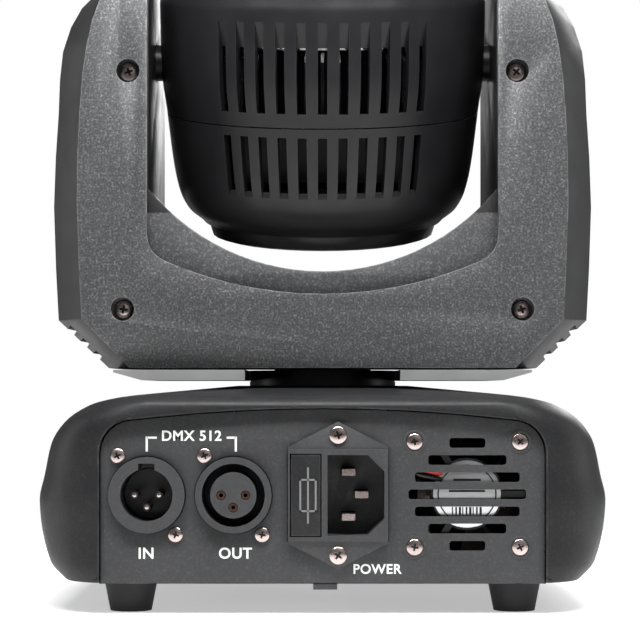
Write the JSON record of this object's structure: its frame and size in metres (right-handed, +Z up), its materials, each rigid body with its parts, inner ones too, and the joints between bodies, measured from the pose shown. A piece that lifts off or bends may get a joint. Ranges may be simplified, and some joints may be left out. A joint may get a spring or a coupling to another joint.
{
  "type": "moving head light",
  "caption": "Compact moving head stage light: boxy connector base, U-shaped yoke that pans, and a round slotted head that tilts, with a multi-lens front.",
  "frame": {"origin": "on the surface the feet stand on, under the pan axis, at the middle of the object's footprint", "axes": "+Z up, along the pan axis; -Y towards the side with the connectors, +Y towards the display; +X to the right when looking at the connectors"},
  "size_m": [0.177, 0.1439, 0.246],
  "materials": {
    "housing": "fine moulded texture",
    "panel": "satin powder coat",
    "yoke_cover": "metallic fleck paint",
    "side_cover": "smooth satin",
    "head_shell": "fine moulded texture",
    "black_plastic": "satin",
    "rubber": "matt",
    "steel": "bright",
    "aluminium": "machined",
    "circuit_board": "solder mask",
    "lens": "clear moulded",
    "fuse_glass": "clear",
    "display": "gloss"
  },
  "bodies": {
    "base": {"base_shell": "housing", "base_plate": "steel", "rear_panel": "panel", "front_panel": "panel", "foot_rear_left": "rubber", "foot_rear_right": "rubber", "foot_front_left": "rubber", "foot_front_right": "rubber", "xlr_in_shell": "steel", "xlr_in_insert": "black_plastic", "xlr_out_shell": "steel", "xlr_out_insert": "black_plastic", "power_inlet": "black_plastic", "inlet_blade_live": "steel", "inlet_blade_earth": "steel", "inlet_blade_neutral": "steel", "base_fan_frame": "black_plastic", "power_supply": "circuit_board", "control_board": "circuit_board", "display_lens": "display", "pan_motor": "steel", "pan_belt": "rubber", "pan_bearing": "steel"},
    "yoke": {"pan_hub": "black_plastic", "yoke_tray": "yoke_cover", "yoke_rear_cover": "yoke_cover", "yoke_front_cover": "yoke_cover", "yoke_left_cover": "side_cover", "yoke_right_cover": "side_cover", "yoke_trough": "black_plastic", "yoke_frame": "steel", "tilt_motor": "steel", "tilt_belt": "rubber", "tilt_bearing_left": "steel", "tilt_bearing_right": "steel", "cover_screw_1": "steel", "cover_screw_2": "steel", "cover_screw_3": "steel", "cover_screw_4": "steel"},
    "head": {"head_tail_shell": "head_shell", "head_body_shell": "head_shell", "tail_cap": "black_plastic", "front_bezel": "head_shell", "lens_plate": "lens", "led_board": "circuit_board", "heat_sink": "aluminium", "head_fan_frame": "black_plastic", "tilt_axle_left": "steel", "tilt_axle_right": "steel"},
    "fuse_carrier": {"fuse_drawer": "black_plastic", "fuse": "fuse_glass"},
    "base_fan": {"base_fan_rotor": "black_plastic"},
    "head_fan": {"head_fan_rotor": "black_plastic"},
    "pan_motor_shaft": {"pan_motor_pulley": "aluminium"},
    "tilt_motor_shaft": {"tilt_motor_pulley": "aluminium"},
    "button_menu": {"button_menu": "black_plastic"},
    "button_up": {"button_up": "black_plastic"},
    "button_down": {"button_down": "black_plastic"},
    "button_enter": {"button_enter": "black_plastic"}
  },
  "joints": [
    {"name": "pan", "type": "hinge", "parent": "base", "child": "yoke", "pos_m": [0, 0, 0.06], "axis": [0, 0, 1], "range_deg": [-270, 270]},
    {"name": "tilt", "type": "hinge", "parent": "yoke", "child": "head", "pos_m": [0, 0, 0.17671], "axis": [1, 0, 0], "range_deg": [-108, 82]},
    {"name": "pan_motor_turn", "type": "hinge", "parent": "base", "child": "pan_motor_shaft", "pos_m": [-0.056, 0.016, 0.055], "axis": [0, 0, 1], "range_deg": [-1150, 1150]},
    {"name": "tilt_motor_turn", "type": "hinge", "parent": "yoke", "child": "tilt_motor_shaft", "pos_m": [0.065, 0, 0.11471], "axis": [1, 0, 0], "range_deg": [-265, 202]},
    {"name": "base_fan_spin", "type": "hinge", "parent": "base", "child": "base_fan", "pos_m": [0.0439, -0.0617, 0.0363], "axis": [0, -1, 0], "continuous": true},
    {"name": "head_fan_spin", "type": "hinge", "parent": "head", "child": "head_fan", "pos_m": [0, 0, 0.17671], "axis": [0, -0.225, 0.9744], "continuous": true},
    {"name": "fuse_drawer_slide", "type": "slide", "parent": "base", "child": "fuse_carrier", "axis": [0, -1, 0], "range_m": [0, 0.018]},
    {"name": "button_menu_press", "type": "slide", "parent": "base", "child": "button_menu", "axis": [0, -1, 0], "range_m": [0, 0.0008], "stiffness_N_per_m": 400},
    {"name": "button_up_press", "type": "slide", "parent": "base", "child": "button_up", "axis": [0, -1, 0], "range_m": [0, 0.0008], "stiffness_N_per_m": 400},
    {"name": "button_down_press", "type": "slide", "parent": "base", "child": "button_down", "axis": [0, -1, 0], "range_m": [0, 0.0008], "stiffness_N_per_m": 400},
    {"name": "button_enter_press", "type": "slide", "parent": "base", "child": "button_enter", "axis": [0, -1, 0], "range_m": [0, 0.0008], "stiffness_N_per_m": 400}
  ],
  "couplings": [
    {"joint": "pan_motor_turn", "follows": "pan", "ratio": 4.25},
    {"joint": "tilt_motor_turn", "follows": "tilt", "ratio": 2.4286}
  ]
}
